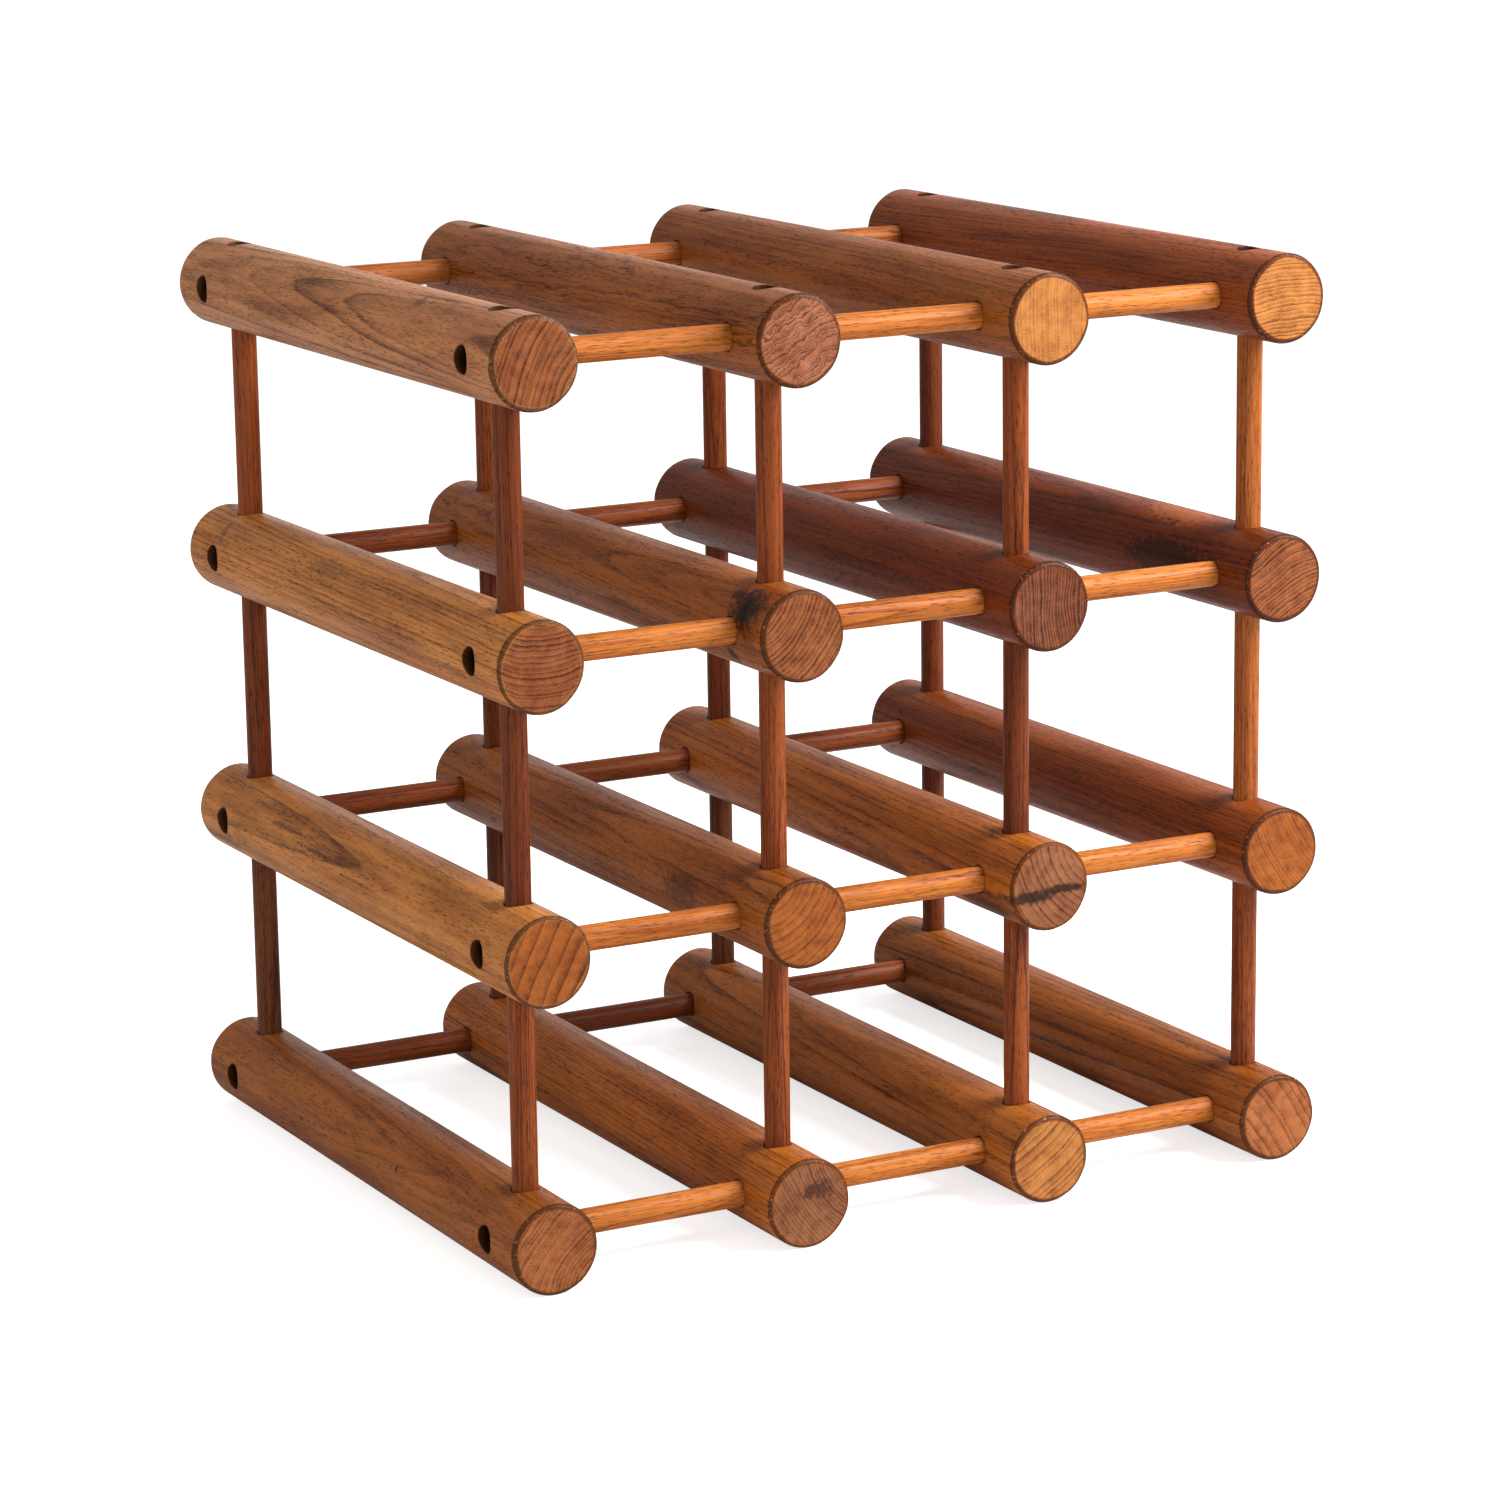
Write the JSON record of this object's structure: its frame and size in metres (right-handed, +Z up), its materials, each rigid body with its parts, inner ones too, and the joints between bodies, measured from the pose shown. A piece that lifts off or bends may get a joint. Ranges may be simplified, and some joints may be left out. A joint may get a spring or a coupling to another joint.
{
  "type": "modular wine rack",
  "caption": "Countertop wine rack of round teak bars running front to back, joined by push-fit dowels into open cells, one bottle to a cell.",
  "frame": {"origin": "on the surface the rack stands on, under the middle of its box: the bottom bars touch z = 0", "axes": "+Z up; +Y along the bars towards the rear; +X to the right seen from the front"},
  "size_m": [0.356, 0.295, 0.3635],
  "materials": {
    "teak_bar": "oiled satin teak, grain along the bar",
    "teak_across_dowel": "oiled satin teak, orange brown",
    "teak_upright_dowel": "oiled satin teak, dark red brown"
  },
  "bodies": {
    "root": {"bar_row1_col1": "teak_bar", "bar_row1_col2": "teak_bar", "bar_row1_col3": "teak_bar", "bar_row1_col4": "teak_bar", "bar_row2_col1": "teak_bar", "bar_row2_col2": "teak_bar", "bar_row2_col3": "teak_bar", "bar_row2_col4": "teak_bar", "bar_row3_col1": "teak_bar", "bar_row3_col2": "teak_bar", "bar_row3_col3": "teak_bar", "bar_row3_col4": "teak_bar", "bar_row4_col1": "teak_bar", "bar_row4_col2": "teak_bar", "bar_row4_col3": "teak_bar", "bar_row4_col4": "teak_bar", "across_dowel_front_row1_gap1": "teak_across_dowel", "across_dowel_front_row1_gap2": "teak_across_dowel", "across_dowel_front_row1_gap3": "teak_across_dowel", "across_dowel_front_row2_gap1": "teak_across_dowel", "across_dowel_front_row2_gap2": "teak_across_dowel", "across_dowel_front_row2_gap3": "teak_across_dowel", "across_dowel_front_row3_gap1": "teak_across_dowel", "across_dowel_front_row3_gap2": "teak_across_dowel", "across_dowel_front_row3_gap3": "teak_across_dowel", "across_dowel_front_row4_gap1": "teak_across_dowel", "across_dowel_front_row4_gap2": "teak_across_dowel", "across_dowel_front_row4_gap3": "teak_across_dowel", "across_dowel_rear_row1_gap1": "teak_across_dowel", "across_dowel_rear_row1_gap2": "teak_across_dowel", "across_dowel_rear_row1_gap3": "teak_across_dowel", "across_dowel_rear_row2_gap1": "teak_across_dowel", "across_dowel_rear_row2_gap2": "teak_across_dowel", "across_dowel_rear_row2_gap3": "teak_across_dowel", "across_dowel_rear_row3_gap1": "teak_across_dowel", "across_dowel_rear_row3_gap2": "teak_across_dowel", "across_dowel_rear_row3_gap3": "teak_across_dowel", "across_dowel_rear_row4_gap1": "teak_across_dowel", "across_dowel_rear_row4_gap2": "teak_across_dowel", "across_dowel_rear_row4_gap3": "teak_across_dowel", "upright_dowel_front_col1_gap1": "teak_upright_dowel", "upright_dowel_front_col2_gap1": "teak_upright_dowel", "upright_dowel_front_col3_gap1": "teak_upright_dowel", "upright_dowel_front_col4_gap1": "teak_upright_dowel", "upright_dowel_front_col1_gap2": "teak_upright_dowel", "upright_dowel_front_col2_gap2": "teak_upright_dowel", "upright_dowel_front_col3_gap2": "teak_upright_dowel", "upright_dowel_front_col4_gap2": "teak_upright_dowel", "upright_dowel_front_col1_gap3": "teak_upright_dowel", "upright_dowel_front_col2_gap3": "teak_upright_dowel", "upright_dowel_front_col3_gap3": "teak_upright_dowel", "upright_dowel_front_col4_gap3": "teak_upright_dowel", "upright_dowel_rear_col1_gap2": "teak_upright_dowel", "upright_dowel_rear_col2_gap2": "teak_upright_dowel", "upright_dowel_rear_col3_gap2": "teak_upright_dowel", "upright_dowel_rear_col4_gap2": "teak_upright_dowel", "upright_dowel_rear_col1_gap3": "teak_upright_dowel", "upright_dowel_rear_col2_gap3": "teak_upright_dowel", "upright_dowel_rear_col3_gap3": "teak_upright_dowel", "upright_dowel_rear_col4_gap3": "teak_upright_dowel"}
  },
  "joints": []
}
